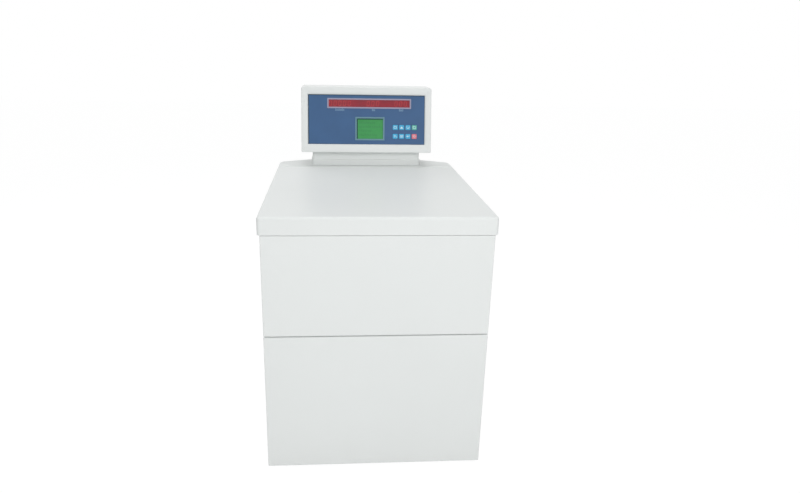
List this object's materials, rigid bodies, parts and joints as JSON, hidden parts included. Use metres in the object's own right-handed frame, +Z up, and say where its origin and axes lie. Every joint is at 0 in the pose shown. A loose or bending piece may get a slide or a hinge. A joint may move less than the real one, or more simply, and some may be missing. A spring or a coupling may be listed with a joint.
{
  "type": "refrigerated centrifuge",
  "caption": "Floor-standing white cabinet with a flat rear-hinged lid over a cooled rotor chamber, and a tilted control head on a neck behind it.",
  "frame": {"origin": "on the floor, under the middle of the body's box", "axes": "+Z up, +X to the user's right, +Y towards the back"},
  "size_m": [0.72, 0.94, 1.178],
  "materials": {
    "white_paint": "satin powder coat, pale warm white",
    "frame_paint": "grey enamel",
    "stainless": "spun and brushed",
    "galvanised": "zinc plated",
    "aluminium": "anodised, fine turned",
    "copper": "bright copper tube",
    "black_enamel": "gloss black enamel",
    "rubber": "matt black rubber",
    "foam": "rigid foam",
    "blue_panel": "matt polyester overlay",
    "red_lens": "red filter",
    "green_screen": "lit green screen",
    "circuit_board": "green solder mask",
    "key_blue": "printed overlay, sky blue",
    "key_green": "printed overlay, green",
    "key_red": "printed overlay, red",
    "black_plastic": "moulded black",
    "grey_plastic": "moulded grey"
  },
  "bodies": {
    "cabinet": {"base_frame": "frame_paint", "frame_posts": "frame_paint", "front_panel_lower": "white_paint", "front_panel_upper": "white_paint", "side_panel_left": "white_paint", "side_panel_right": "white_paint", "rear_panel": "white_paint", "panel_screws": "galvanised", "top_deck": "white_paint", "rear_deck": "white_paint", "chamber_bowl": "stainless", "evaporator_coil": "copper", "chamber_insulation": "foam", "guard_drum": "frame_paint", "chamber_gasket": "rubber", "spindle_seal": "rubber", "motor_housing": "frame_paint", "motor_plate": "galvanised", "motor_dampers": "rubber", "compressor": "black_enamel", "condenser": "aluminium", "fan_shroud": "galvanised", "refrigerant_lines": "copper", "inverter_drive": "grey_plastic", "power_board": "circuit_board", "switch_frame": "black_plastic", "cable_gland": "black_plastic", "hinge_brackets": "galvanised", "lock_body": "galvanised", "neck": "white_paint", "head_shell": "white_paint", "head_bezel": "white_paint", "control_panel": "blue_panel", "led_display": "red_lens", "lcd_module": "green_screen", "head_board": "circuit_board"},
    "lid": {"lid_skin": "white_paint", "lid_liner": "stainless", "lid_striker": "galvanised", "hinge_ears": "galvanised", "hinge_pins": "galvanised"},
    "rotor_drive": {"spindle": "galvanised", "rotor_body": "aluminium"},
    "rotor_nut": {"rotor_nut": "black_plastic"},
    "condenser_fan": {"condenser_fan": "grey_plastic"},
    "lock_bolt": {"lock_bolt": "galvanised"},
    "mains_rocker": {"mains_rocker": "black_plastic"},
    "key_1": {"key_1": "key_blue"},
    "key_2": {"key_2": "key_blue"},
    "key_3": {"key_3": "key_blue"},
    "key_4": {"key_4": "key_green"},
    "key_5": {"key_5": "key_blue"},
    "key_6": {"key_6": "key_blue"},
    "key_7": {"key_7": "key_blue"},
    "key_8": {"key_8": "key_red"},
    "levelling_foot_1": {"levelling_foot_1": "galvanised"},
    "levelling_foot_2": {"levelling_foot_2": "galvanised"},
    "levelling_foot_3": {"levelling_foot_3": "galvanised"},
    "levelling_foot_4": {"levelling_foot_4": "galvanised"}
  },
  "joints": [
    {"name": "lid_hinge", "type": "hinge", "parent": "cabinet", "child": "lid", "pos_m": [0, 0.297, 0.852], "axis": [-1, 0, 0], "range_deg": [0, 70]},
    {"name": "rotor_spin", "type": "hinge", "parent": "cabinet", "child": "rotor_drive", "pos_m": [0, -0.075, 0.565], "axis": [0, 0, 1], "continuous": true},
    {"name": "rotor_nut_turn", "type": "hinge", "parent": "rotor_drive", "child": "rotor_nut", "pos_m": [0, -0.075, 0.715], "axis": [0, 0, 1], "range_deg": [0, 1800]},
    {"name": "condenser_fan_spin", "type": "hinge", "parent": "cabinet", "child": "condenser_fan", "pos_m": [0, 0.3905, 0.181], "axis": [0, 1, 0], "continuous": true},
    {"name": "lock_bolt_slide", "type": "slide", "parent": "cabinet", "child": "lock_bolt", "axis": [-1, 0, 0], "range_m": [0, 0.018], "stiffness_N_per_m": 60},
    {"name": "mains_rocker_tip", "type": "hinge", "parent": "cabinet", "child": "mains_rocker", "pos_m": [0.19, 0.461, 0.4], "axis": [1, 0, 0], "range_deg": [0, 14]},
    {"name": "key_1_press", "type": "slide", "parent": "cabinet", "child": "key_1", "axis": [0, 0.9781, -0.2079], "range_m": [0, 0.0008], "stiffness_N_per_m": 800},
    {"name": "key_2_press", "type": "slide", "parent": "cabinet", "child": "key_2", "axis": [0, 0.9781, -0.2079], "range_m": [0, 0.0008], "stiffness_N_per_m": 800},
    {"name": "key_3_press", "type": "slide", "parent": "cabinet", "child": "key_3", "axis": [0, 0.9781, -0.2079], "range_m": [0, 0.0008], "stiffness_N_per_m": 800},
    {"name": "key_4_press", "type": "slide", "parent": "cabinet", "child": "key_4", "axis": [0, 0.9781, -0.2079], "range_m": [0, 0.0008], "stiffness_N_per_m": 800},
    {"name": "key_5_press", "type": "slide", "parent": "cabinet", "child": "key_5", "axis": [0, 0.9781, -0.2079], "range_m": [0, 0.0008], "stiffness_N_per_m": 800},
    {"name": "key_6_press", "type": "slide", "parent": "cabinet", "child": "key_6", "axis": [0, 0.9781, -0.2079], "range_m": [0, 0.0008], "stiffness_N_per_m": 800},
    {"name": "key_7_press", "type": "slide", "parent": "cabinet", "child": "key_7", "axis": [0, 0.9781, -0.2079], "range_m": [0, 0.0008], "stiffness_N_per_m": 800},
    {"name": "key_8_press", "type": "slide", "parent": "cabinet", "child": "key_8", "axis": [0, 0.9781, -0.2079], "range_m": [0, 0.0008], "stiffness_N_per_m": 800},
    {"name": "levelling_foot_1_screw", "type": "slide", "parent": "cabinet", "child": "levelling_foot_1", "axis": [0, 0, 1], "range_m": [-0.012, 0]},
    {"name": "levelling_foot_2_screw", "type": "slide", "parent": "cabinet", "child": "levelling_foot_2", "axis": [0, 0, 1], "range_m": [-0.012, 0]},
    {"name": "levelling_foot_3_screw", "type": "slide", "parent": "cabinet", "child": "levelling_foot_3", "axis": [0, 0, 1], "range_m": [-0.012, 0]},
    {"name": "levelling_foot_4_screw", "type": "slide", "parent": "cabinet", "child": "levelling_foot_4", "axis": [0, 0, 1], "range_m": [-0.012, 0]}
  ]
}
